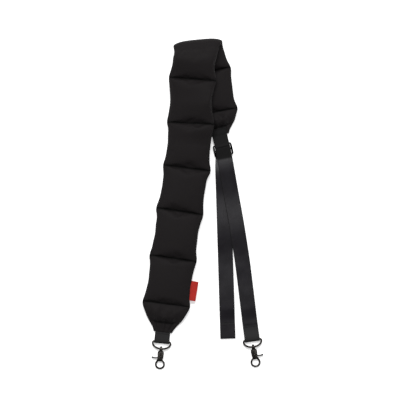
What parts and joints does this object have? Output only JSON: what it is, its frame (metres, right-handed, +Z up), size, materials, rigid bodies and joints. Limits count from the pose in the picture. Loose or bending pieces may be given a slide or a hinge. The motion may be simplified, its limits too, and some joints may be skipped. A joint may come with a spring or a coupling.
{
  "type": "camera neck strap",
  "caption": "Padded camera neck strap lying folded in half: quilted pad, flat webbing with a slide, and a D-ring with a swivel snap hook at each end.",
  "frame": {"origin": "under the middle of the whole strap as it lies, on the surface that it rests on", "axes": "+Z up from the surface, +Y along the strap from the snap hooks to the pad's fold, +X to the side where the webbing lies"},
  "size_m": [0.2002, 0.5474, 0.0386],
  "materials": {
    "pad_cloth": "matt black woven nylon",
    "webbing": "black nylon webbing with a satin sheen",
    "gunmetal": "black nickel, satin, lightly rubbed",
    "lever_metal": "black nickel, rubbed brighter by use",
    "label_cloth": "red woven ribbon"
  },
  "bodies": {
    "strap": {"pad": "pad_cloth", "woven_label": "label_cloth", "tab_left": "webbing", "tab_right": "webbing", "strap_webbing": "webbing", "slide": "gunmetal"},
    "left_ring": {"ring_left": "gunmetal", "eye_left": "gunmetal"},
    "left_hook": {"hook_left": "gunmetal", "pin_left": "lever_metal"},
    "left_lever": {"lever_left": "lever_metal"},
    "right_ring": {"ring_right": "gunmetal", "eye_right": "gunmetal"},
    "right_hook": {"hook_right": "gunmetal", "pin_right": "lever_metal"},
    "right_lever": {"lever_right": "lever_metal"}
  },
  "joints": [
    {"name": "left_ring_hinge", "type": "hinge", "parent": "strap", "child": "left_ring", "pos_m": [-0.06808, -0.22776, 0.00335], "axis": [-0.9954, 0.0958, 0], "range_deg": [0, 135]},
    {"name": "left_swivel", "type": "hinge", "parent": "left_ring", "child": "left_hook", "pos_m": [-0.06926, -0.24006, 0.00495], "axis": [-0.0763, -0.992, -0.1002], "continuous": true},
    {"name": "left_lever_hinge", "type": "hinge", "parent": "left_hook", "child": "left_lever", "pos_m": [-0.07021, -0.25236, 0.00371], "axis": [0.0077, 0.0999, -0.995], "range_deg": [0, 25], "stiffness_Nm_per_rad": 0.02, "springref_deg": -22.92},
    {"name": "right_ring_hinge", "type": "hinge", "parent": "strap", "child": "right_ring", "pos_m": [0.08155, -0.22461, 0.00335], "axis": [-0.9903, -0.1392, 0], "range_deg": [0, 135]},
    {"name": "right_swivel", "type": "hinge", "parent": "right_ring", "child": "right_hook", "pos_m": [0.08328, -0.23684, 0.00495], "axis": [0.1471, -0.984, -0.1002], "continuous": true},
    {"name": "right_lever_hinge", "type": "hinge", "parent": "right_hook", "child": "right_lever", "pos_m": [0.0851, -0.24904, 0.00371], "axis": [0.0148, -0.0991, 0.995], "range_deg": [0, 25], "stiffness_Nm_per_rad": 0.02, "springref_deg": -22.92}
  ]
}
